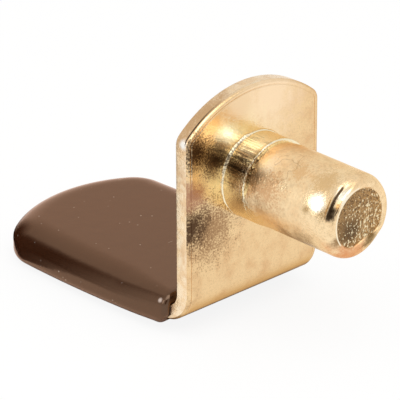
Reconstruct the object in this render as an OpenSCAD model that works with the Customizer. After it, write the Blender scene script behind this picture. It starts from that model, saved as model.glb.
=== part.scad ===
// Shelf support pin: a strip folded into an L, a stepped round pin staked
// through its plate, and a soft sleeve on the ledge that carries the shelf.
//
// The origin is on the pin's axis, in the face that seats against the cabinet
// side. The pin points along -Y, the ledge runs along +Y, and +Z is up.

/* [Bracket] */
// Width of the strip
strip_w = 12.7; // [12:0.1:13]
// Thickness of the strip
sheet_t = 1.2; // [1:0.05:1.6]
// Height of the plate's top above the pin's axis
plate_top = 6.7; // [6:0.1:12]
// Depth of the ledge's underside below the pin's axis
ledge_drop = 10.15; // [8:0.05:14]
// Distance from the seating face to the tip of the ledge
ledge_len = 20; // [16:0.5:26]
// Outside radius of the fold
fold_outer_r = 2.6; // [2:0.1:3.2]
// Inside radius of the fold
fold_inner_r = 1.2; // [0.6:0.1:1.6]
// Radius of the arch on both ends of the strip
arch_r = 9.3; // [8.5:0.1:12]
// Radius of the shoulders between the arches and the strip's sides
shoulder_r = 1; // [0.4:0.1:2]

/* [Pin] */
// Diameter of the smooth collar at the pin's root
collar_d = 6.3; // [6:0.05:7]
// Length of the collar
collar_len = 2.2; // [1:0.1:4]
// Diameter of the shank
shank_d = 6.12; // [5.6:0.02:6.8]
// Diameter of the neck that the shank starts with, beyond the collar
neck_d = 5.9; // [5.2:0.05:6.2]
// Length over which the neck flares out to the shank
neck_len = 0.9; // [0.6:0.05:1.6]
// Distance from the seating face to the pin's end
pin_len = 10.25; // [8:0.05:14]
// Radius that rounds the pin's nose
nose_r = 0.85; // [0.4:0.05:1.5]
// Diameter of the tail that passes through the plate
tail_d = 4.2; // [3:0.1:4.6]
// Diameter of the tail's staked head, where it fills the countersink
head_d = 5.6; // [5:0.1:7]
// Depth of the countersink in the back of the plate
head_depth = 0.6; // [0.3:0.05:0.8]
// Height of the staked head's low dome
head_dome = 0.15; // [0.05:0.05:0.3]

/* [Sleeve] */
// Width of the sleeve at its open end
sleeve_w = 13.8; // [13.6:0.1:15]
// Width of the sleeve at the corners of its tip
sleeve_tip_w = 14; // [13.8:0.1:15.2]
// How far each side bulges between its ends
sleeve_bulge = 0.25; // [0:0.05:0.6]
// Distance from the seating face to the sleeve's open end
sleeve_start = 1.85; // [1.75:0.05:3]
// Thickness of the sleeve over the ledge
top_wall = 1.05; // [0.7:0.05:2]
// Thickness of the sleeve under the ledge, at its open end
under_wall = 0.45; // [0.3:0.05:1.5]
// How much lower the sleeve's underside is at the tip
tip_drop = 0.5; // [0:0.05:1]
// Thickness of the sleeve past the tip of the ledge
tip_wall = 1; // [0.8:0.1:2]
// Radius of the sleeve's arched tip
tip_arch_r = 10; // [9.5:0.1:14]
// Radius of the corners of the tip
tip_corner_r = 3.25; // [2.4:0.05:3.6]
// Radius of the corners at the open end
mouth_corner_r = 0.5; // [0.3:0.05:0.6]
// How far in from the sides the upper edge starts to round
top_edge_w = 2.2; // [0.8:0.1:2.4]
// How far down the sides the upper edge is round
top_edge_h = 1.5; // [0.6:0.1:1.6]
// Radius of the lower edge
low_edge_r = 0.8; // [0.3:0.1:0.9]

/* [Fits] */
// Gap between the ledge and the sleeve's pocket
pocket_gap = 0.05; // [0.02:0.01:0.1]
// Gap between the staked tail and its hole
tail_gap = 0.02; // [0.01:0.01:0.05]

/* [Hidden] */
$fn = 96;

// How far a solid that cuts or trims runs past what it shapes
over = 1;
// Degrees between the points of the sleeve's round edges
edge_step = 15;
strip_reach = ledge_drop + plate_top + ledge_len;
ledge_under = -ledge_drop;
ledge_over = ledge_under + sheet_t;
// Side of the square that holds the whole fold
fold_span = max(fold_outer_r, sheet_t + fold_inner_r);
sleeve_top = ledge_over + top_wall;
sleeve_end = ledge_len + tip_wall;

// --- Bracket -------------------------------------------------------------

// A quadrant of the plane whose corner, at the origin, is rounded
module rounded_quadrant(r) {
  translate([r, 0]) square(strip_reach);
  translate([0, r]) square(strip_reach);
  translate([r, r]) circle(r);
}

// The strip seen from its side: plate, fold and ledge, with no ends yet
module side_view(grow) {
  difference() {
    translate([-grow, ledge_under - grow]) rounded_quadrant(fold_outer_r + grow);
    translate([sheet_t + grow, ledge_over + grow]) rounded_quadrant(fold_inner_r - grow);
  }
}

// One end of the strip seen flat: straight sides, round shoulders and an
// arch whose top is at y = top
module arched_end(top, grow) {
  r = arch_r + grow;
  corner_r = shoulder_r + grow;
  shoulder_x = strip_w / 2 - shoulder_r;
  arch_y = top - arch_r;
  shoulder_y = arch_y + sqrt(pow(arch_r - shoulder_r, 2) - pow(shoulder_x, 2));
  // The arch meets a shoulder on the line through their two centres
  past = arch_r / (arch_r - shoulder_r) * 1.2;
  meet_x = past * shoulder_x;
  meet_y = arch_y + past * (shoulder_y - arch_y);
  translate([-strip_w / 2 - grow, shoulder_y - strip_reach])
    square([strip_w + 2 * grow, strip_reach]);
  for (side = [-1, 1])
    translate([side * shoulder_x, shoulder_y]) circle(corner_r);
  intersection() {
    translate([0, arch_y]) circle(r);
    polygon([[0, arch_y], [meet_x, meet_y], [0, top + arch_r], [-meet_x, meet_y]]);
  }
}

// The folded strip, grown on every side by the same amount
module folded_strip(grow = 0) {
  intersection() {
    rotate([90, 0, 90])
      linear_extrude(strip_w + 2 * over, center = true) side_view(grow);
    union() {
      translate([0, fold_span, 0]) rotate([90, 0, 0])
        linear_extrude(fold_span + over) arched_end(plate_top, grow);
      translate([0, 0, ledge_under - over])
        linear_extrude(fold_span + over) arched_end(ledge_len, grow);
    }
  }
}

// The hole that the tail passes through, countersunk from behind
module tail_hole() {
  rotate([-90, 0, 0]) {
    translate([0, 0, -over]) cylinder(d = tail_d + 2 * tail_gap, h = sheet_t + 2 * over);
    translate([0, 0, sheet_t - head_depth])
      cylinder(d1 = tail_d + 2 * tail_gap, d2 = head_d + 2 * tail_gap, h = head_depth);
  }
}

module bracket() {
  color("#e3bd79")
    difference() {
      folded_strip();
      tail_hole();
    }
}

// --- Pin -----------------------------------------------------------------

// Half of the stud's section, on (radius, distance out along the pin): the
// collar, the neck that flares out to the shank, and the rounded nose
module stud_section() {
  shank_r = shank_d / 2;
  flare_end = collar_len + neck_len;
  square([collar_d / 2, collar_len]);
  polygon([
    [0, 0], [neck_d / 2, 0], [neck_d / 2, collar_len], [shank_r, flare_end],
    [shank_r, pin_len - nose_r], [shank_r - nose_r, pin_len - nose_r],
    [shank_r - nose_r, pin_len], [0, pin_len]
  ]);
  translate([shank_r - nose_r, pin_len - nose_r])
    intersection() {
      circle(nose_r);
      square(nose_r);
    }
}

// The tail and its staked head, on (radius, distance back through the plate)
module tail_section() {
  tail_r = tail_d / 2;
  head_r = head_d / 2;
  polygon([
    [0, 0], [tail_r, 0], [tail_r, sheet_t - head_depth],
    [head_r, sheet_t], [0, sheet_t]
  ]);
  // The dome is a slice of a large circle that meets the head's rim
  dome_r = (pow(head_r, 2) + pow(head_dome, 2)) / (2 * head_dome);
  intersection() {
    translate([0, sheet_t + head_dome - dome_r]) circle(dome_r, $fn = 360);
    translate([0, sheet_t]) square([head_r, head_dome]);
  }
}

module pin() {
  color("#e6c384") {
    rotate([90, 0, 0]) rotate_extrude() stud_section();
    rotate([-90, 0, 0]) rotate_extrude() tail_section();
  }
}

// --- Sleeve --------------------------------------------------------------

// Height of the sleeve's underside, which slopes down towards the tip
function underside(y) =
  ledge_under - under_wall - tip_drop * (y - sleeve_start) / (sleeve_end - sleeve_start);

// Half width of the sleeve at a share u of the way along its side
function half_width(u) =
  (sleeve_w + (sleeve_tip_w - sleeve_w) * u) / 2 + 4 * sleeve_bulge * u * (1 - u);

// A quarter of an ellipse, as points
function quarter(centre, rx, ry, start) =
  [for (a = [start:edge_step:start + 90]) centre + [rx * cos(a), ry * sin(a)]];

// An upright disc with round edges, centred at (x, y). A disc too small for
// the edges gets them smaller, in the same proportion.
module cushion_disc(x, y, r) {
  low = underside(y);
  edge_w = min(top_edge_w, r);
  edge_h = top_edge_h * edge_w / top_edge_w;
  edge_low = min(low_edge_r, r);
  translate([x, y, 0])
    rotate_extrude($fn = 48)
      polygon(concat(
        [[0, low]],
        quarter([r - edge_low, low + edge_low], edge_low, edge_low, -90),
        quarter([r - edge_w, sleeve_top - edge_h], edge_w, edge_h, 0),
        [[0, sleeve_top]]
      ));
}

// The sleeve's outer form, stretched over discs that stand round its outline
module cushion() {
  mouth_y = sleeve_start + mouth_corner_r;
  arch_x = sleeve_tip_w / 2 - tip_corner_r;
  arch_sweep = asin(arch_x / (tip_arch_r - tip_corner_r));
  arch_y = sleeve_end - tip_arch_r;
  corner_y = arch_y + (tip_arch_r - tip_corner_r) * cos(arch_sweep);
  hull() {
    for (side = [-1, 1]) {
      cushion_disc(side * (sleeve_w / 2 - mouth_corner_r), mouth_y, mouth_corner_r);
      for (u = [0.25:0.25:0.75])
        cushion_disc(side * (half_width(u) - tip_corner_r), mouth_y + u * (corner_y - mouth_y), tip_corner_r);
    }
    for (step = [-3:3]) {
      a = arch_sweep * step / 3;
      cushion_disc(
        (tip_arch_r - tip_corner_r) * sin(a),
        arch_y + (tip_arch_r - tip_corner_r) * cos(a),
        tip_corner_r
      );
    }
  }
}

module sleeve() {
  color("#6f4a36")
    difference() {
      cushion();
      folded_strip(grow = pocket_gap);
    }
}

bracket();
pin();
sleeve();
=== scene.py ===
import math

import bmesh
import bpy
from mathutils import Matrix, Vector, noise


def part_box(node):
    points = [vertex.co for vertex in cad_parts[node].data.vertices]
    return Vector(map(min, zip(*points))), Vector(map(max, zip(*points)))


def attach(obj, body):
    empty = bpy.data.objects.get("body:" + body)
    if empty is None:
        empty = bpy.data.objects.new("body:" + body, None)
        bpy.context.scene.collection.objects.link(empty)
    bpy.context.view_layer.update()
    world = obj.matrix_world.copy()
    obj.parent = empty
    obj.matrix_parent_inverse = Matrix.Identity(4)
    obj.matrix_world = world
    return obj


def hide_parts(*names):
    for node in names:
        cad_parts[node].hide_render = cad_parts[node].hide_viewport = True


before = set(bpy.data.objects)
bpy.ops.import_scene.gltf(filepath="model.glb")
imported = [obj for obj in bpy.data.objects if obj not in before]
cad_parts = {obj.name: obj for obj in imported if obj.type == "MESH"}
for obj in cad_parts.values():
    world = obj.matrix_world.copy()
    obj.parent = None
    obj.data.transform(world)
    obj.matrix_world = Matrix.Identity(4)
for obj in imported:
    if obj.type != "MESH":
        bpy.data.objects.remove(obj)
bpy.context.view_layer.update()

# --- Bracket -------------------------------------------------------------
# A steel strip, cropped to an arch at both ends and folded into an L. The
# press left its front edge rolled over and its back edge sharper. The pin's
# hole is countersunk from behind. Brass plated after tumbling.

MM = 0.001
bracket_low, bracket_high = (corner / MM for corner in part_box("bracket"))
half_strip = bracket_high.x
plate_top = bracket_high.z
ledge_under = bracket_low.z
ledge_tip = bracket_high.y
sheet_t = 1.2
fold_outer_r = 2.6
fold_inner_r = 1.2
fold_cuts = 24
arch_r = 9.3
shoulder_r = 1.0
rolled_edge_r = 0.24
back_edge_r = 0.08
border_w = 0.05
groove_w = 0.07
groove_depth = 0.03
# The fold came out slightly higher at the strip's left edge, more so the
# further it is below twist_top
fold_twist = 0.13
twist_top = -2
twist_height = 7
hole_r = 2.12
countersink_r = 2.82
countersink_depth = 0.6

# The strip flat, with X across it, Y along it from where the fold starts and
# its seating face at Z = 0
fold_start_z = ledge_under + fold_outer_r
plate_run = plate_top - fold_start_z
fold_run = math.pi / 2 * (fold_outer_r + fold_inner_r) / 2
ledge_run = ledge_tip - fold_outer_r
strip = bmesh.new()


def arched_end(tip_y, way):
    """A chain of edges round one end of the flat strip: shoulder, arch, shoulder"""
    shoulder_x = half_strip - shoulder_r
    rise = math.sqrt((arch_r - shoulder_r) ** 2 - shoulder_x**2)
    arch_y = tip_y - way * arch_r
    lean = math.atan2(rise, shoulder_x)
    first = strip.verts.new((way * half_strip, arch_y + way * rise, 0))
    last = first
    arcs = (
        ((way * shoulder_x, arch_y + way * rise, 0), lean, 10),
        ((0, arch_y, 0), math.pi - 2 * lean, 60),
        ((-way * shoulder_x, arch_y + way * rise, 0), lean, 10),
    )
    for centre, sweep, steps in arcs:
        swept = bmesh.ops.spin(
            strip, geom=[last], cent=centre, axis=(0, 0, 1), angle=sweep, steps=steps
        )["geom_last"]
        last = next(v for v in swept if isinstance(v, bmesh.types.BMVert))
    return first, last


def lies_at(part, level):
    """Whether an edge or face of the flat strip lies at one height"""
    return all(abs(v.co.z - level) < 0.0001 for v in part.verts)


top_right, top_left = arched_end(-plate_run, -1)
tip_right, tip_left = arched_end(fold_run + ledge_run, 1)
strip.edges.new((top_left, tip_right))
strip.edges.new((tip_left, top_right))
front = bmesh.ops.contextual_create(strip, geom=strip.edges[:])["faces"]
raised = bmesh.ops.extrude_face_region(strip, geom=front)["geom"]
bmesh.ops.translate(
    strip, verts=[v for v in raised if isinstance(v, bmesh.types.BMVert)], vec=(0, 0, sheet_t)
)
bmesh.ops.recalc_face_normals(strip, faces=strip.faces)
for level, radius, steps in ((0, rolled_edge_r, 6), (sheet_t, back_edge_r, 5)):
    bmesh.ops.bevel(
        strip, geom=[e for e in strip.edges if lies_at(e, level)],
        offset=radius, segments=steps, profile=0.5, affect="EDGES", material=-1,
    )

# The press tool's rim left a fine groove just inside the rolled edge. A narrow
# border round the back keeps the rest of that face flat when it is shaded.
# These two faces are the ones with many corners
seating, back = (
    [f for f in strip.faces if len(f.verts) > 8 and lies_at(f, level)] for level in (0, sheet_t)
)
for faces, width, depth in (
    (seating, border_w, 0), (seating, groove_w, -groove_depth), (seating, groove_w, groove_depth),
    (back, border_w, 0),
):
    bmesh.ops.inset_region(strip, faces=faces, thickness=width, depth=depth, use_even_offset=True)

# Cuts across the strip let it bend, and then it is folded
for step in range(fold_cuts + 1):
    bmesh.ops.bisect_plane(
        strip, geom=strip.verts[:] + strip.edges[:] + strip.faces[:],
        plane_co=(0, fold_run * step / fold_cuts, 0), plane_no=(0, 1, 0),
    )
inner_start_z = ledge_under + sheet_t + fold_inner_r
for v in strip.verts:
    x, y, depth = v.co
    share = depth / sheet_t
    if y < 0:
        start_z = fold_start_z + share * (inner_start_z - fold_start_z)
        v.co = (x, depth, start_z - y * (plate_top - start_z) / plate_run)
    elif y < fold_run:
        turn = y / fold_run * math.pi / 2
        spoke = Vector((math.cos(turn), math.sin(turn)))
        outer = Vector((fold_outer_r, fold_start_z)) - fold_outer_r * spoke
        inner = Vector((sheet_t + fold_inner_r, inner_start_z)) - fold_inner_r * spoke
        v.co = (x, *outer.lerp(inner, share))
    else:
        start_y = fold_outer_r + share * (sheet_t + fold_inner_r - fold_outer_r)
        ledge_y = start_y + (y - fold_run) * (ledge_tip - start_y) / ledge_run
        v.co = (x, ledge_y, ledge_under + depth)
    twisted = min(1, max(0, (twist_top - v.co.z) / twist_height))
    v.co.z += fold_twist * (half_strip - x) / (2 * half_strip) * twisted


def make_piece(mesh_data, name, sharp_angle=35):
    """A smooth-shaded object in metres from a bmesh in millimetres"""
    bmesh.ops.scale(mesh_data, verts=mesh_data.verts, vec=(MM, MM, MM))
    bmesh.ops.recalc_face_normals(mesh_data, faces=mesh_data.faces)
    mesh = bpy.data.meshes.new(name)
    mesh_data.to_mesh(mesh)
    mesh_data.free()
    mesh.shade_smooth()
    mesh.set_sharp_from_angle(angle=math.radians(sharp_angle))
    piece = bpy.data.objects.new(name, mesh)
    bpy.context.scene.collection.objects.link(piece)
    return piece


def cut_away(piece, cutter, sharp_angle=35):
    """Takes a closed cutter out of a piece, and removes the cutter"""
    cut = piece.modifiers.new("cut", "BOOLEAN")
    cut.operation = "DIFFERENCE"
    cut.solver = "EXACT"
    cut.object = cutter
    bpy.context.view_layer.update()
    evaluated = piece.evaluated_get(bpy.context.evaluated_depsgraph_get())
    mesh = bpy.data.meshes.new_from_object(evaluated)
    mesh.set_sharp_from_angle(angle=math.radians(sharp_angle))
    piece.modifiers.clear()
    piece.data = mesh
    bpy.data.objects.remove(cutter)


def draw_profile(mesh_data, points):
    """A chain of edges through (radius, distance along Y) points, above the Y axis"""
    chain = [mesh_data.verts.new((0, y, r)) for r, y in points]
    for a, b in zip(chain, chain[1:]):
        mesh_data.edges.new((a, b))
    return chain


def turn_profile(mesh_data, steps):
    """Spins a profile round the Y axis into a closed form"""
    bmesh.ops.spin(
        mesh_data, geom=mesh_data.verts[:] + mesh_data.edges[:], axis=(0, 1, 0), cent=(0, 0, 0),
        angle=math.tau, steps=steps, use_merge=True,
    )
    bmesh.ops.remove_doubles(mesh_data, verts=mesh_data.verts, dist=0.0005)


folded_strip = make_piece(strip, "folded_strip", sharp_angle=20)

# The hole's drill: straight through, then out to the countersink
drill = bmesh.new()
drill_start, drill_end = -1, 2
draw_profile(drill, (
    (0, drill_start), (hole_r, drill_start), (hole_r, sheet_t - countersink_depth),
    (countersink_r, sheet_t), (countersink_r, drill_end), (0, drill_end),
))
turn_profile(drill, steps=96)
cut_away(folded_strip, make_piece(drill, "drill"), sharp_angle=20)
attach(folded_strip, "root")
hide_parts("bracket")


def set_inputs(tree, node, inputs):
    """Sets a node's inputs to values, or links them to other nodes' outputs"""
    for socket, value in inputs.items():
        if isinstance(value, bpy.types.NodeSocket):
            tree.links.new(value, node.inputs[socket])
        else:
            node.inputs[socket].default_value = value


def add_node(tree, kind, inputs, **settings):
    """A shader node, with its settings made and its inputs set"""
    node = tree.nodes.new("ShaderNode" + kind)
    for name, value in settings.items():
        setattr(node, name, value)
    set_inputs(tree, node, inputs)
    return node


def calculate(tree, operation, *values):
    """What a Math node makes of its values"""
    return add_node(tree, "Math", dict(enumerate(values)), operation=operation).outputs[0]


def product(tree, first, *others):
    """Masks multiplied together"""
    for other in others:
        first = calculate(tree, "MULTIPLY", first, other)
    return first


def distance_from(tree, value, middle):
    """How far a value is from a middle, either way"""
    return calculate(tree, "ABSOLUTE", calculate(tree, "SUBTRACT", value, middle))


def remap(tree, value, span, to=(0.0, 1.0), interpolation="LINEAR"):
    """A value's place within a span, stretched between two other numbers"""
    return add_node(tree, "MapRange", {
        "Value": value, "From Min": span[0], "From Max": span[1], "To Min": to[0], "To Max": to[1],
    }, interpolation_type=interpolation).outputs[0]


def mixed(tree, share, colour, shade, blend_type="MIX"):
    """A colour with a share of a shade laid over it"""
    # 6 and 7 are the Mix node's A and B sockets for colours
    return add_node(tree, "Mix", {
        "Factor": share, 6: colour, 7: shade,
    }, data_type="RGBA", blend_type=blend_type).outputs[2]


def noise_over(tree, place, scale, detail, roughness=0.5):
    """A cloudy pattern of values between 0 and 1"""
    return add_node(tree, "TexNoise", {
        "Vector": place, "Scale": scale, "Detail": detail, "Roughness": roughness,
    }).outputs["Fac"]


def placed(tree, place, scale, turn=(0, 0, 0)):
    """A place scaled and turned, which sizes and turns the pattern laid over it"""
    return add_node(tree, "Mapping", {
        "Vector": place, "Rotation": turn, "Scale": scale,
    }).outputs[0]


def object_millimetres(tree):
    """The surface's own place on the object, in millimetres"""
    return placed(tree, add_node(tree, "TexCoord", {}).outputs["Object"], (1 / MM,) * 3)


def relief(tree, height, distance):
    """A normal bent by a height that stands for so many metres"""
    return add_node(tree, "Bump", {"Height": height, "Distance": distance}).outputs[0]


def new_group(name, sockets):
    """An empty shader node group, what it is given, and its output node"""
    group = bpy.data.node_groups.new(name, "ShaderNodeTree")
    for label, way, kind, value in sockets:
        socket = group.interface.new_socket(label, in_out=way, socket_type="NodeSocket" + kind)
        if value is not None:
            socket.default_value = value
    given = group.nodes.new("NodeGroupInput").outputs
    return group, given, group.nodes.new("NodeGroupOutput")


def new_material(name):
    """A material, its node tree and its Principled shader"""
    material = bpy.data.materials.new(name)
    material.use_nodes = True
    return material, material.node_tree, material.node_tree.nodes["Principled BSDF"]


# Brass plating over a tumbled surface: fine dents, blotches and a few pits
tumbled, given, result = new_group("tumbled_plating", (
    ("Plating", "INPUT", "Color", None), ("Tarnish", "INPUT", "Color", None),
    ("Grain", "INPUT", "Float", 1.0),
    ("Colour", "OUTPUT", "Color", None), ("Roughness", "OUTPUT", "Float", None),
    ("Height", "OUTPUT", "Float", None),
))
place = object_millimetres(tumbled)
grain = noise_over(tumbled, place, scale=5.5, detail=3, roughness=0.65)
dents = noise_over(tumbled, place, scale=0.7, detail=3)
blotches = noise_over(tumbled, place, scale=0.6, detail=6, roughness=0.68)
tarnished = remap(tumbled, blotches, (0.44, 0.66))
colour = mixed(tumbled, tarnished, given["Plating"], given["Tarnish"])
pits = remap(tumbled, grain, (0.34, 0.52), to=(0.9, 1.0))
set_inputs(tumbled, result, {
    "Colour": mixed(tumbled, 1.0, colour, pits, blend_type="MULTIPLY"),
    "Roughness": remap(tumbled, blotches, (0.35, 0.7), to=(0.15, 0.27)),
    "Height": calculate(tumbled, "ADD", dents, product(tumbled, grain, given["Grain"])),
})

# A patch with a ragged, peppered edge round a point of the object, used both for stains and for
# painted light and shade
stain_and_painted_light, given, result = new_group("stain_and_painted_light", (
    ("Centre", "INPUT", "Vector", None), ("Reach", "INPUT", "Float", 1.0),
    ("Pepper", "INPUT", "Float", 0.5), ("Mask", "OUTPUT", "Float", None),
))
raggedness, pepper_strength = 1.1, 1.6
place = object_millimetres(stain_and_painted_light)
away = add_node(stain_and_painted_light, "VectorMath", {0: place, 1: given["Centre"]}, operation="DISTANCE")
edge = calculate(stain_and_painted_light, "DIVIDE", away.outputs["Value"], given["Reach"])
ragged = noise_over(stain_and_painted_light, place, scale=1.2, detail=4, roughness=0.6)
edge = calculate(stain_and_painted_light, "MULTIPLY_ADD", ragged, -raggedness, edge)
pepper = noise_over(stain_and_painted_light, place, scale=7.0, detail=2, roughness=0.6)
pepper = product(stain_and_painted_light, calculate(stain_and_painted_light, "SUBTRACT", pepper, 0.5), given["Pepper"])
edge = calculate(stain_and_painted_light, "MULTIPLY_ADD", pepper, -pepper_strength, edge)
set_inputs(stain_and_painted_light, result, {
    "Mask": remap(stain_and_painted_light, edge, (-0.4, 0.45), to=(1.0, 0.0), interpolation="SMOOTHSTEP"),
})


def stain_and_light_mask(tree, centre, reach, pepper):
    """Where a patch lies, stain and painted light or shade alike, as 1, with 0 for where it
    doesn't
    """
    return add_node(tree, "Group", {
        "Centre": centre, "Reach": reach, "Pepper": pepper,
    }, node_tree=stain_and_painted_light).outputs["Mask"]


def with_stains_and_painted_light(tree, colour, spots):
    """The colour with patches of stain and painted light or shade mixed over it: centre, reach,
    pepper and shade of each
    """
    for centre, reach, pepper, shade in spots:
        colour = mixed(tree, stain_and_light_mask(tree, centre, reach, pepper), colour, (*shade, 1))
    return colour


strip_plating, tree, surface = new_material("strip_plating")
plating = add_node(tree, "Group", {
    "Plating": (0.90, 0.64, 0.35, 1), "Tarnish": (0.80, 0.52, 0.27, 1), "Grain": 1.0,
}, node_tree=tumbled)
# Painted light on the plate: lighter towards its top and round the pin's foot, a pale painted
# highlight, painted reflections of the pin and of its shadow that darken its left, and painted
# shade inside the fold at its left end, which the vinyl's mouth mirrors dark. A pinkish-brown
# patch lies at its left edge
colour = with_stains_and_painted_light(tree, plating.outputs["Colour"], (
    ((1.5, 0, 5.5), 4.5, 0.2, (1.0, 0.76, 0.50)),
    ((-2.2, 0, 1.4), 5.5, 0.3, (1.0, 0.82, 0.50)),
    ((-1.6, 0, 5.4), 1.8, 0.3, (0.92, 0.68, 0.42)),
    ((-3.9, 0, 4.5), 1.6, 0.9, (0.94, 0.72, 0.44)),
    ((-2.7, 0, 3.9), 1.5, 0.8, (1.0, 0.96, 0.78)),
    ((-4.3, 0, -2.9), 3.3, 1.6, (0.42, 0.25, 0.125)),
    ((-5.9, 0, -2.3), 2.3, 1.0, (0.10, 0.055, 0.03)),
    ((-5.6, 0, 3.3), 2.0, 1.3, (0.12, 0.075, 0.042)),
    ((-3.8, 0, 2.1), 1.4, 1.6, (0.28, 0.18, 0.10)),
    ((-5.7, 0, 0.1), 1.7, 0.6, (0.46, 0.24, 0.14)),
    ((-6.0, 2.0, -7.6), 2.0, 0.5, (0.06, 0.035, 0.02)),
))
# Painted shade along the fold: it is painted darker and warmer towards its bottom, and near black
# underneath
height = add_node(tree, "SeparateXYZ", {0: object_millimetres(tree)}).outputs["Z"]
for span, shade in (
    ((-7.9, -9.3), (0.74, 0.49, 0.24)),
    ((-8.98, -9.38), (0.24, 0.14, 0.07)),
):
    fold_shade = remap(tree, height, span, to=(0.0, 0.85), interpolation="SMOOTHSTEP")
    colour = mixed(tree, fold_shade, colour, (*shade, 1))
set_inputs(tree, surface, {
    "Base Color": colour, "Roughness": plating.outputs["Roughness"], "Metallic": 1,
    "Specular Tint": (0.75, 0.55, 0.37, 1),
    "Normal": relief(tree, plating.outputs["Height"], distance=0.000014),
})

# The sheared edges are duller than the rolled faces and brown along the left of the arch. A
# painted highlight sits on the left shoulder, and a dark line is painted as shade where the press
# rolled the edge over
cut_edge, tree, surface = new_material("cut_edge")
plating = add_node(tree, "Group", {
    "Plating": (0.97, 0.71, 0.43, 1), "Tarnish": (0.84, 0.57, 0.33, 1), "Grain": 1.2,
}, node_tree=tumbled)
place = object_millimetres(tree)
scoured = remap(tree, noise_over(tree, place, scale=1.6, detail=4, roughness=0.65), (0.42, 0.6))
colour = mixed(tree, scoured, plating.outputs["Colour"], (1.0, 0.80, 0.55, 1))
# The first patch browns the arch's left; the second is a painted highlight on the left shoulder
colour = with_stains_and_painted_light(tree, colour, (
    ((-4.5, 0.6, 5.4), 4.4, 0.8, (0.66, 0.42, 0.22)),
    ((-6.3, 0.45, 3.95), 0.5, 0.2, (1.0, 0.97, 0.90)),
))
across, depth, height = add_node(tree, "SeparateXYZ", {0: place}).outputs
# A dark line painted as shade just inside the rolled edge
shaded_line_depth = 0.30
in_line = remap(
    tree, distance_from(tree, depth, shaded_line_depth), (0.03, 0.09), to=(1.0, 0.0)
)
on_left = remap(tree, across, (-5.0, -3.0), to=(1.0, 0.1))
on_arch = remap(tree, height, (3.9, 4.2))
rolled_line_shade = product(tree, in_line, on_left, on_arch)
colour = mixed(tree, rolled_line_shade, colour, (0.05, 0.025, 0.01, 1))
edge_dullness = 0.08
set_inputs(tree, surface, {
    "Base Color": colour, "Metallic": 1,
    "Roughness": calculate(tree, "ADD", plating.outputs["Roughness"], edge_dullness),
    "Normal": relief(tree, plating.outputs["Height"], distance=0.00003),
})
folded_strip.data.materials.append(strip_plating)
folded_strip.data.materials.append(cut_edge)
shoulder_start = 3.74
for face in folded_strip.data.polygons:
    sideways = abs(face.normal.x) > 0.9 and abs(face.center.x) > (half_strip - 0.01) * MM
    over_the_arch = abs(face.normal.y) < 0.3 and face.center.z > shoulder_start * MM
    if sideways or over_the_arch:
        face.material_index = 1

# --- Pin -----------------------------------------------------------------
# A stud upset from wire: a smooth collar that fills the mouth of the hole, a
# rougher shank, a rounded nose and the face that the shear left. Its tail goes
# through the plate and is staked over behind. Brass plated before staking.

pin_low, pin_high = (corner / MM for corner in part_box("pin"))
collar_r = pin_high.x
pin_end = pin_low.y
collar_end = -2.2
neck_r = 2.95
flare_end = -3.1
shank_r = 3.06
nose_r = 0.85
sheared_r = shank_r - nose_r
sheared_depth = 0.07
sheared_rim_w = 0.02
sheared_rim_slope = 0.1
head_r = 2.8
tail_r = 2.1
# The collar swells into a ring at its foot and into a burr at its end: how far
# each stands out, and where along the collar
foot_ring = ((0.1, 0), (0.07, -0.12), (0, -0.17))
end_burr = ((0, 0.22), (0.05, 0.1), (0, 0))

stud = bmesh.new()
section = draw_profile(stud, (
    (0, pin_high.y), (head_r, sheet_t), (tail_r, sheet_t - countersink_depth), (tail_r, 0),
    *((collar_r + proud, along) for proud, along in foot_ring),
    *((collar_r + proud, collar_end + along) for proud, along in end_burr),
    (neck_r, collar_end), (shank_r, flare_end), (shank_r, pin_end),
    (sheared_r - sheared_rim_w, pin_end),
    (sheared_r - sheared_rim_slope, pin_end + sheared_depth), (0, pin_end + sheared_depth),
))
foot_corner, burr_corner, collar_corner, nose_corner = (section[i] for i in (5, 8, 9, 12))
for corner, radius, steps in (
    (nose_corner, nose_r, 20), (collar_corner, 0.06, 3), (burr_corner, 0.05, 3),
    (foot_corner, 0.03, 2),
):
    bmesh.ops.bevel(
        stud, geom=[corner], offset=radius, segments=steps, profile=0.5,
        affect="VERTICES", material=-1,
    )
# Long lines are cut up, so that the marks made below can bend them
for longest, cuts in ((5, 60), (1.2, 12)):
    long_lines = [e for e in stud.edges if e.calc_length() > longest]
    bmesh.ops.subdivide_edges(stud, edges=long_lines, cuts=cuts)
turn_profile(stud, steps=200)


def on_sheared_face(v):
    """Whether a point of the stud lies on the face that the shear left"""
    r = math.hypot(v.co.x, v.co.z)
    return pin_end + 0.005 < v.co.y < pin_end + 0.2 and r < sheared_r


for face in stud.faces:
    if all(on_sheared_face(v) for v in face.verts):
        face.material_index = 1


def bump(value, middle, half_width):
    """A smooth hump: 1 in the middle, 0 from half_width on"""
    away = min(abs(value - middle) / half_width, 1)
    return (1 - away * away) ** 2


def ease(value, start, end):
    """A smooth rise from 0 at the start to 1 at the end"""
    share = min(max((value - start) / (end - start), 0), 1)
    return share * share * (3 - 2 * share)


def between(value, start, full, fading, end):
    """A smooth rise to 1 and a smooth fall back to 0"""
    return ease(value, start, full) * (1 - ease(value, fading, end))


# Where each mark lies, in degrees round the stud from its right side over its
# top, as a middle and a half width or as the angles where it grows and fades.
# With it, how high it stands or how deep it goes
thick_foot, thick_foot_h = (132, 42), 0.08
worn_foot, worn_foot_d = (203, 220, 270, 300), 0.1
thick_burr, thick_burr_h = (152, 34), 0.12
thin_burr, thin_burr_d = (168, 186), 0.05
filled_flare = (168, 188, 250, 290)
nose_dent, nose_dent_d = (150, 34), 0.2
nose_crease, nose_crease_d, nose_crease_back = (139, 46), 0.22, 0.07
short_cut, short_cut_d, drawn_out = (285, 48), 0.5, 0.06
nose_start = -pin_end - nose_r

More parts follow.
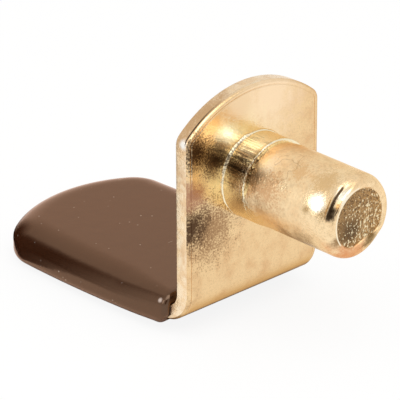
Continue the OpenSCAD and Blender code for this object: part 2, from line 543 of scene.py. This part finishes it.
# The collar's foot and the burr at its end are thicker on the left. Handling
# has dented the nose's side, and the shear has creased it and cut its face
# short at one edge
for v in stud.verts:
    r = math.hypot(v.co.x, v.co.z)
    # The tail behind the plate and the points on the axis stay as they are
    if v.co.y > 0.001 or r < 0.01:
        continue
    around = math.degrees(math.atan2(v.co.z, v.co.x)) % 360
    out = -v.co.y
    new_r = r
    if out < -collar_end + 0.001 and r > neck_r + 0.05:
        ragged = noise.noise(Vector((v.co.x, 7, v.co.z)) * 1.7) + 0.6 * noise.noise(v.co * 5)
        foot = bump(out, 0.02, 0.16)
        burr = bump(out, -collar_end - 0.1, 0.12)
        new_r += foot * (thick_foot_h * bump(around, *thick_foot) + 0.03 * ragged)
        new_r -= foot * worn_foot_d * between(around, *worn_foot)
        new_r += burr * (thick_burr_h * bump(around, *thick_burr) + 0.02 * ragged)
        new_r -= burr * thin_burr_d * ease(around, *thin_burr)
    else:
        # The flare is filled in below, where the burr runs out
        filled = between(around, *filled_flare) * bump(out, -collar_end, 1.1)
        new_r += (collar_r - 0.005 - r) * filled
    dented = between(out, 7.6, 9.3, 9.45, 9.8) * ease(r, 2.6, 3.0)
    new_r -= nose_dent_d * bump(around, *nose_dent) * dented
    if out > nose_start - 0.1:
        slope = math.degrees(math.atan2(out - nose_start + 1e-6, max(r - sheared_r, 1e-6)))
        creased = bump(slope, 58, 15) * bump(around, *nose_crease)
        new_r -= nose_crease_d * creased
        v.co.y += nose_crease_back * creased
    cut = ease(out, -pin_end - 0.42, -pin_end - 0.06) * r / sheared_r
    new_r += cut * (drawn_out - short_cut_d * bump(around, *short_cut))
    v.co.x *= new_r / r
    v.co.z *= new_r / r
staked_pin = make_piece(stud, "staked_pin")
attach(staked_pin, "root")
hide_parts("pin")

pin_plating, tree, surface = new_material("pin_plating")
plating = add_node(tree, "Group", {
    "Plating": (1.0, 0.76, 0.46, 1), "Tarnish": (0.95, 0.67, 0.38, 1), "Grain": 0.9,
}, node_tree=tumbled)
place = object_millimetres(tree)
_, along, height = add_node(tree, "SeparateXYZ", {0: place}).outputs
# The shank is sandy, with brown drawn into its grain
sand = noise_over(tree, place, scale=3.6, detail=5, roughness=0.75)
patches = noise_over(tree, place, scale=0.5, detail=2)
sandy = calculate(tree, "MULTIPLY_ADD", patches, 0.7, sand)
sandy = remap(tree, sandy, (0.82, 1.0), to=(0.0, 0.42))
colour = mixed(tree, sandy, plating.outputs["Colour"], (0.64, 0.42, 0.21, 1))
# The collar is burnished paler. Above it ends at the burr, and lower down it
# fades into the shank
faded_at = calculate(tree, "MINIMUM", height, -0.3)
faded_at = calculate(tree, "MULTIPLY_ADD", faded_at, 2.0, -1.75)
in_front = calculate(tree, "LESS_THAN", along, 0.1)
collar = product(tree, remap(tree, along, (faded_at, collar_end)), in_front)
colour = mixed(tree, collar, colour, (0.97, 0.86, 0.60, 1))
# Painted reflections darken the collar's left, the neck beyond its burr and the shank's underside,
# and painted highlights brighten the collar's top, a pale spot on the shank, the white patch
# before the nose and a stripe on the nose. Painted reflections darken the shank round the white
# patch, and painted shade blackens the crease at the nose. Other patches vary the shank's tone,
# copper shows through under the nose, and it is darker at its short cut and low on its left
colour = with_stains_and_painted_light(tree, colour, (
    ((-2.6, -2.9, 1.5), 1.6, 1.8, (0.36, 0.23, 0.12)),
    ((-1.9, -1.1, 2.5), 2.1, 0.5, (0.18, 0.115, 0.065)),
    ((-2.9, -1.1, 1.3), 1.6, 0.6, (0.30, 0.19, 0.10)),
    ((-0.9, -1.2, 3.0), 1.4, 0.3, (1.0, 0.96, 0.80)),
    ((-1.9, -3.4, 2.4), 1.1, 0.8, (1.0, 0.84, 0.60)),
    ((-1.6, -8.3, 2.6), 1.4, 1.2, (0.80, 0.54, 0.27)),
    ((-2.8, -4.4, 1.1), 1.5, 2.0, (0.78, 0.49, 0.26)),
    ((-1.5, -6.1, 2.7), 1.0, 2.0, (0.84, 0.55, 0.28)),
    ((-1.9, -5.6, -2.4), 1.8, 0.5, (0.38, 0.23, 0.11)),
    ((-1.9, -7.4, -2.4), 2.1, 0.5, (0.38, 0.23, 0.11)),
    ((-2.95, -7.95, 0.9), 0.5, 0.3, (0.55, 0.37, 0.18)),
    ((-2.6, -9.2, 0.9), 0.7, 1.2, (0.50, 0.34, 0.17)),
    ((-1.45, -10.1, 2.05), 0.9, 0.2, (1.0, 0.95, 0.80)),
    ((-2.45, -10.0, 1.25), 0.55, 0.2, (0.04, 0.025, 0.012)),
    ((-2.62, -10.0, 0.95), 0.5, 0.2, (0.04, 0.025, 0.012)),
    ((-2.55, -8.65, 1.5), 0.9, 0.1, (1.0, 0.97, 0.86)),
    ((-0.9, -10.0, -2.7), 2.5, 0.4, (0.76, 0.34, 0.15)),
    ((1.1, -10.1, -1.9), 1.0, 0.5, (0.22, 0.13, 0.05)),
    ((-2.15, -10.1, -0.95), 0.7, 0.4, (0.34, 0.2, 0.09)),
))
# Rubbing has left fine streaks along the collar's dark side, and hair-thin
# scratches wander over the shank
streaks = noise_over(tree, placed(tree, place, (8, 0.3, 8)), scale=1, detail=3)
dark_streaks = remap(tree, streaks, (0.38, 0.58), to=(0.35, 1.25))
dark_side = stain_and_light_mask(tree, (-2.2, -1.1, 2.2), 3.0, 0.2)
colour = mixed(
    tree, product(tree, collar, dark_side), colour, dark_streaks, blend_type="MULTIPLY"
)
wander = noise_over(tree, place, scale=0.55, detail=2)
scratch = remap(tree, distance_from(tree, wander, 0.47), (0.003, 0.012), to=(0.6, 0.0))
scratched_part = stain_and_light_mask(tree, (-2.1, -5.2, 2.2), 3.0, 0.5)
colour = mixed(tree, product(tree, scratch, scratched_part), colour, (0.50, 0.30, 0.14, 1))


def distance_along(tree, place, way):
    """How far a place lies along a direction"""
    dot = add_node(tree, "VectorMath", {0: place, 1: way}, operation="DOT_PRODUCT")
    return dot.outputs["Value"]


# Painted shade lies in the crease at the nose, and a painted highlight runs round the rim of the
# sheared face
from_axis = add_node(tree, "VectorMath", {0: place, 1: (1, 0, 1)}, operation="MULTIPLY")
from_axis = add_node(tree, "VectorMath", {0: from_axis.outputs[0]}, operation="LENGTH")
radius = from_axis.outputs["Value"]
for ring_r, half_width, facing, span, start, shade in (
    (2.92, 0.09, (-0.766, 0, 0.643), 0.87, -9.75, (0.05, 0.03, 0.015)),
    (2.33, 0.07, (-0.906, 0, 0.423), 0.45, -10.05, (1.0, 0.88, 0.66)),
):
    in_ring = remap(tree, distance_from(tree, radius, ring_r), (half_width, half_width / 3))
    toward = distance_along(tree, place, facing)
    in_span = remap(tree, toward, (ring_r * span, ring_r * (span + 0.06)))
    at_nose = calculate(tree, "LESS_THAN", along, start)
    colour = mixed(tree, product(tree, in_ring, in_span, at_nose), colour, (*shade, 1))


def shade_along(tree, value, stops):
    """The shade at a value between 0 and 1 on a ramp of two stops or more"""
    ramp = add_node(tree, "ValToRGB", {"Fac": value})
    elements = ramp.color_ramp.elements
    for element, (position, shade) in zip(elements, stops):
        element.position, element.color = position, (*shade, 1)
    for position, shade in stops[2:]:
        elements.new(position).color = (*shade, 1)
    return ramp.outputs[0]


# The shank is duller than the collar and the nose
from_end = remap(tree, along, (-10, 0))
shank_dullness = shade_along(tree, from_end, [
    (position, (dullness,) * 3)
    for position, dullness in ((0.12, 0.0), (0.3, 0.12), (0.755, 0.12), (0.78, 0.0))
])
set_inputs(tree, surface, {
    "Base Color": colour, "Metallic": 1, "Specular Tint": (1, 0.86, 0.66, 1),
    "Roughness": calculate(tree, "ADD", plating.outputs["Roughness"], shank_dullness),
    "Normal": relief(tree, plating.outputs["Height"], distance=0.00003),
})

# The sheared face is torn steel that took little plating, with bright grains
# toward its lower right
sheared_steel, tree, surface = new_material("sheared_steel")
place = object_millimetres(tree)
torn = noise_over(tree, place, scale=7.0, detail=3, roughness=0.6)
lower_right = distance_along(tree, place, (0.7, 0, -0.7))
crowd = remap(tree, lower_right, (-2.2, 1.4), to=(0.0, 0.1))
colour = shade_along(tree, calculate(tree, "ADD", crowd, torn), [
    (0.36, (0.16, 0.085, 0.03)), (0.72, (0.65, 0.385, 0.155)),
])
colour = with_stains_and_painted_light(tree, colour, (((-1.0, -10.2, -0.6), 1.4, 1.0, (0.16, 0.09, 0.035)),))
grains = noise_over(tree, placed(tree, place, (7, 7, 4.5)), scale=1, detail=2, roughness=0.6)
grains = remap(tree, calculate(tree, "ADD", grains, crowd), (0.645, 0.675))
colour = mixed(tree, grains, colour, (1.0, 0.84, 0.54, 1))
set_inputs(tree, surface, {
    "Base Color": colour, "Metallic": 1, "Roughness": 0.28,
    "Normal": relief(tree, torn, distance=0.00015),
})
staked_pin.data.materials.append(pin_plating)
staked_pin.data.materials.append(sheared_steel)

# --- Sleeve --------------------------------------------------------------
# A soft vinyl cushion, moulded glossy, slipped over the ledge so that the
# shelf neither slides nor rattles. Its mouth has a rounded rim and a thin
# lower lip.

sleeve_low, sleeve_high = (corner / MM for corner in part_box("sleeve"))
mouth_y = sleeve_low.y
tip_y = sleeve_high.y
crown_z = sleeve_high.z
under_tip_z = sleeve_low.z
under_mouth_z = under_tip_z + 0.5
mouth_half = 6.9
tip_half = 7.0
side_bulge = 0.25
tip_arch_r = 10.0
tip_corner_r = 3.25
upper_edge_w, upper_edge_h = 2.2, 1.5
upper_edge_at_mouth = 1.1
upper_edge_run = 5
lower_edge_r = 0.8
rim_r = 0.42
rim_border = 0.1
lip_recess = 0.75
lip_thinning = 0.3
lip_height = 1.2
lip_length = 4
lip_corner = (4, 6.6)
lip_left_end = (-6.4, -5)
pocket_gap = 0.05

sleeve_arch_y = tip_y - tip_arch_r
corner_sweep = math.asin((tip_half - tip_corner_r) / (tip_arch_r - tip_corner_r))
corner_y = sleeve_arch_y + (tip_arch_r - tip_corner_r) * math.cos(corner_sweep)
# The shares of the outline at which the side ends and the tip's arch starts
side_end, arch_start = 0.5, 0.8


def outline(share):
    """A point on the right half of the sleeve's outline, from the mouth's corner
    (0) to the middle of the tip (1), and the way that it faces"""
    if share < side_end:
        u = share / side_end
        x = mouth_half + (tip_half - mouth_half) * u + 4 * side_bulge * u * (1 - u)
        # The first cut is far enough in for the rim to be rounded
        first_y = mouth_y + rim_r + rim_border
        y = mouth_y if share == 0 else first_y + (corner_y - first_y) * u
        return Vector((x, y)), Vector((1, 0))
    if share < arch_start:
        turned = (share - side_end) / (arch_start - side_end)
        turn = (math.pi / 2 - corner_sweep) * turned
        centre, r = Vector((tip_half - tip_corner_r, corner_y)), tip_corner_r
    else:
        turn = math.pi / 2 - corner_sweep * (1 - share) / (1 - arch_start)
        centre, r = Vector((0, sleeve_arch_y)), tip_arch_r
    facing = Vector((math.cos(turn), math.sin(turn)))
    return centre + r * facing, facing


# A sheet is wrapped round the outline: its rows run from the middle of the
# underside to the lower edge, round it, up the side, round the upper edge and
# back to the middle of the top. These are the rows at which each part ends,
# and how far along Y the line down the middle runs
under_end, lower_end, side_row_end, upper_end, top_end = 12, 22, 26, 44, 60
middle_line_end = 12
skin = bmesh.new()
bmesh.ops.create_grid(skin, x_segments=260, y_segments=top_end, size=1)
for v in skin.verts:
    side = math.copysign(1, -v.co.x)
    row = round((v.co.y + 1) / 2 * top_end)
    spot, facing = outline(1 - abs(v.co.x))
    core = Vector((0, min(spot.y, middle_line_end)))
    low_z = under_mouth_z + (under_tip_z - under_mouth_z) * (spot.y - mouth_y) / (tip_y - mouth_y)
    opened = min(1, (spot.y - mouth_y) / upper_edge_run)
    edge_w = upper_edge_at_mouth + (upper_edge_w - upper_edge_at_mouth) * opened
    edge_h = upper_edge_at_mouth + (upper_edge_h - upper_edge_at_mouth) * opened
    if row < under_end:
        spot = core.lerp(spot - facing * lower_edge_r, row / under_end)
        z = low_z
    elif row < lower_end:
        turn = (row - under_end) / (lower_end - under_end) * math.pi / 2
        spot = spot - facing * lower_edge_r * (1 - math.sin(turn))
        z = low_z + lower_edge_r * (1 - math.cos(turn))
    elif row < side_row_end:
        side_foot, side_head = low_z + lower_edge_r, crown_z - edge_h
        z = side_foot + (side_head - side_foot) * (row - lower_end) / (side_row_end - lower_end)
    elif row < upper_end:
        turn = (row - side_row_end) / (upper_end - side_row_end) * math.pi / 2
        spot = spot - facing * edge_w * (1 - math.cos(turn))
        z = crown_z - edge_h * (1 - math.sin(turn))
    else:
        spot = (spot - facing * edge_w).lerp(core, (row - upper_end) / (top_end - upper_end))
        z = crown_z
    v.co = (side * spot.x, spot.y, z)
bmesh.ops.remove_doubles(skin, verts=skin.verts, dist=0.001)
rim = [e for e in skin.edges if e.is_boundary]
bmesh.ops.contextual_create(skin, geom=rim)
bmesh.ops.recalc_face_normals(skin, faces=skin.faces)
bmesh.ops.bevel(
    skin, geom=rim, offset=rim_r, segments=6, profile=0.5, affect="EDGES",
    clamp_overlap=True, material=-1,
)
# The lower lip of the mouth is thin, save at its left end, and stands back a
# little at its corners
for v in skin.verts:
    low = 1 - ease(v.co.z, under_mouth_z, under_mouth_z + lip_height)
    near_mouth = 1 - ease(v.co.y, mouth_y, mouth_y + lip_length)
    v.co.y += lip_recess * low * near_mouth * ease(abs(v.co.x), *lip_corner)
    v.co.z += lip_thinning * low * near_mouth * ease(v.co.x, *lip_left_end)
cushion = make_piece(skin, "cushion")

# The pocket is the strip's own form, a little larger
pocket = bmesh.new()
pocket.from_mesh(folded_strip.data)
bmesh.ops.remove_doubles(pocket, verts=pocket.verts, dist=0.000001)
pocket.normal_update()
for v in pocket.verts:
    v.co += v.normal * pocket_gap * MM
bmesh.ops.scale(pocket, verts=pocket.verts, vec=(1 / MM,) * 3)
cut_away(cushion, make_piece(pocket, "pocket"))
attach(cushion, "root")
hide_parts("sleeve")

# Specks scattered through space, wherever the surface meets one
specks, given, result = new_group("specks", (
    ("Place", "INPUT", "Vector", None), ("Size", "INPUT", "Float", 0.06),
    ("Share", "INPUT", "Float", 0.3), ("Mask", "OUTPUT", "Float", None),
))
cell = add_node(specks, "TexVoronoi", {"Vector": given["Place"], "Scale": 1})
chance, strength, _ = add_node(specks, "SeparateColor", {0: cell.outputs["Color"]}).outputs
near = calculate(specks, "LESS_THAN", cell.outputs["Distance"], given["Size"])
kept = calculate(specks, "LESS_THAN", chance, given["Share"])
strength = remap(specks, strength, (0, 1), to=(0.35, 1.0))
set_inputs(specks, result, {"Mask": product(specks, near, kept, strength)})

vinyl, tree, surface = new_material("vinyl")
place = object_millimetres(tree)
waves = noise_over(tree, place, scale=0.2, detail=2)
colour = mixed(tree, waves, (0.026, 0.0135, 0.009, 1), (0.036, 0.0185, 0.0125, 1))
# Round dust, and short lint that lies two ways
for size, turn, scale, share in (
    (0.09, (0, 0, 0), (1.5, 1.5, 1.5), 0.4),
    (0.06, (0, 0, 0.5), (0.22, 1.5, 1.5), 0.35),
    (0.06, (0.3, 0.4, 1.9), (0.2, 1.5, 1.5), 0.35),
):
    dust = add_node(tree, "Group", {
        "Place": placed(tree, place, scale, turn), "Size": size, "Share": share,
    }, node_tree=specks)
    colour = mixed(tree, dust.outputs["Mask"], colour, (0.32, 0.48, 0.74, 1))
# A painted highlight on the mouth's upper corner
colour = with_stains_and_painted_light(tree, colour, (((-6.7, 2.5, -8.45), 0.25, 0.0, (0.5, 0.68, 1.0)),))
ripple = noise_over(tree, place, scale=1.1, detail=2)
# The brown is in the clear skin too, so that even its reflections are brown
set_inputs(tree, surface, {
    "Base Color": colour, "IOR": 1.87,
    "Roughness": remap(tree, ripple, (0, 1), to=(0.13, 0.2)),
    "Coat Weight": 1, "Coat IOR": 1.15, "Coat Roughness": 0.15,
    "Coat Tint": (1, 0.67, 0.45, 1),
    "Normal": relief(tree, ripple, distance=0.00002),
})
cushion.data.materials.append(vinyl)

# --- Studio --------------------------------------------------------------
# A white table under a large softbox, with a smaller one at the left. A black
# card and a dark patch of the room give the vinyl and the metal their darker
# reflections, and a bright patch above the front lights the rounded edges.

scene = bpy.context.scene
floor_z = sleeve_low.z * MM
floor_reach = 3  # metres each way


def studio_object(mesh_data, name):
    """An object in metres from a bmesh in metres"""
    mesh = bpy.data.meshes.new(name)
    mesh_data.to_mesh(mesh)
    mesh_data.free()
    made = bpy.data.objects.new(name, mesh)
    scene.collection.objects.link(made)
    return made


table = bmesh.new()
bmesh.ops.create_grid(table, x_segments=1, y_segments=1, size=floor_reach)
bmesh.ops.translate(table, verts=table.verts, vec=(0, 0, floor_z))
floor = studio_object(table, "floor")

# To the camera the floor is part light of its own, so that it stays white
# and the object's shadow on it is faint
floor_white, tree, paint = new_material("floor_white")
floor_glow = 0.88
set_inputs(tree, paint, {
    "Base Color": (0.88, 0.88, 0.88, 1), "Roughness": 0.9, "Specular IOR Level": 0,
})
# Reflections find the floor dark where the sleeve stands on it: a rectangle
# whose middle is brought to 0 and its sides to 1
centred = add_node(tree, "Mapping", {
    "Vector": add_node(tree, "TexCoord", {}).outputs["Object"],
    "Location": (0, -1.18, 0), "Scale": (138, 103, 0),
}).outputs[0]
centred = add_node(tree, "VectorMath", {0: centred}, operation="ABSOLUTE").outputs[0]
across, along, _ = add_node(tree, "SeparateXYZ", {0: centred}).outputs
lit = remap(tree, calculate(tree, "MAXIMUM", across, along), (0.97, 1.0))
seen_by = add_node(tree, "LightPath", {}).outputs
mirrored = product(tree, seen_by["Is Glossy Ray"], lit)
glowing = calculate(tree, "MAXIMUM", seen_by["Is Camera Ray"], mirrored)
lit_paint = add_node(tree, "MixShader", {
    0: product(tree, glowing, floor_glow), 1: paint.outputs[0],
    2: add_node(tree, "Emission", {}).outputs[0],
})
set_inputs(tree, tree.nodes["Material Output"], {"Surface": lit_paint.outputs[0]})
floor.data.materials.append(floor_white)

# Black card, out of the camera's sight: a low wall close to the ledge's left
# and behind its tip, and a foot that lies on the table. It fades out upwards
# and at both ends, so that its reflection in the vinyl has soft edges.
card_lift = 0.1
card_height = 31
card = bmesh.new()
foot = [
    card.verts.new((x * MM, y * MM, floor_z + card_lift * MM))
    for x, y in (
        (-12, 7), (-10.2, 12), (-8.6, 15), (-7.3, 17.5), (-7, 19.5), (-5.5, 21), (6, 22),
        (6, 35), (-12, 35),
    )
]
card.faces.new(foot)
wall = [card.edges.get((foot[0], foot[-1])), card.edges.get((foot[-1], foot[-2]))]
raised = bmesh.ops.extrude_edge_only(card, edges=wall)["geom"]
bmesh.ops.translate(
    card, verts=[v for v in raised if isinstance(v, bmesh.types.BMVert)],
    vec=(0, 0, card_height * MM),
)
black_card = studio_object(card, "black_card")
card_black, tree, surface = new_material("card_black")
place = add_node(tree, "SeparateXYZ", {0: object_millimetres(tree)}).outputs
opacity = product(tree, *(
    remap(tree, place[axis], (gone, full), interpolation="SMOOTHSTEP")
    for axis, gone, full in (("Z", 13, -5), ("X", 5, -5), ("Y", 6, 20))
))
set_inputs(tree, surface, {
    "Base Color": (0.01, 0.01, 0.01, 1), "Roughness": 0.9, "Specular IOR Level": 0,
    "Alpha": opacity,
})
black_card.data.materials.append(card_black)
black_card.visible_camera = False
black_card.visible_diffuse = False
black_card.visible_shadow = False

world = bpy.data.worlds.new("studio")
scene.world = world
world.use_nodes = True
tree = world.node_tree
heading = add_node(tree, "TexCoord", {}).outputs["Generated"]
room = (0.86, 0.85, 0.83, 1)
for direction, half_angle, softness, shade in (
    ((0.05, -0.65, 0.76), 20, 8, (1.6, 1.5, 1.35, 1)),
    ((-0.62, -0.66, 0.42), 17, 5, (0.075, 0.06, 0.045, 1)),
):
    toward = distance_along(tree, heading, Vector(direction).normalized())
    span = [math.cos(math.radians(half_angle + way * softness)) for way in (1, -1)]
    room = mixed(tree, remap(tree, toward, span, interpolation="SMOOTHSTEP"), room, shade)
seen_by = add_node(tree, "LightPath", {}).outputs
set_inputs(tree, tree.nodes["Background"], {
    "Color": mixed(tree, seen_by["Is Camera Ray"], room, (1, 1, 1, 1)), "Strength": 1,
})


def softbox(name, direction, distance, size, power):
    """A rectangular lamp in a direction from the pin's foot, turned to face it"""
    light = bpy.data.lights.new(name, "AREA")
    light.shape = "RECTANGLE"
    light.size, light.size_y = size
    light.energy = power
    lamp = bpy.data.objects.new(name, light)
    scene.collection.objects.link(lamp)
    lamp.location = Vector(direction).normalized() * distance
    lamp.rotation_mode = "QUATERNION"
    lamp.rotation_quaternion = Vector(direction).to_track_quat("Z", "Y")


softbox("top_softbox", (-0.31, -0.29, 0.9), distance=0.3, size=(0.24, 0.24), power=0.32)
softbox("left_softbox", (-0.87, 0.23, 0.43), distance=0.3, size=(0.09, 0.12), power=0.08)

scene.view_settings.view_transform = "Standard"
camera_data = bpy.data.cameras.new("camera")
camera_data.lens = 315
camera_data.sensor_width = 36
camera_data.clip_start, camera_data.clip_end = 0.01, 10
camera = bpy.data.objects.new("camera", camera_data)
scene.collection.objects.link(camera)
scene.camera = camera
eye = Vector((-154.978, -157.039, 102.700)) * MM
aim = Vector((-5.203, 0, -0.360)) * MM
roll = Matrix.Rotation(math.radians(-0.227), 3, "Z").to_quaternion()
camera.location = eye
camera.rotation_mode = "QUATERNION"
camera.rotation_quaternion = (aim - eye).to_track_quat("-Z", "Y") @ roll
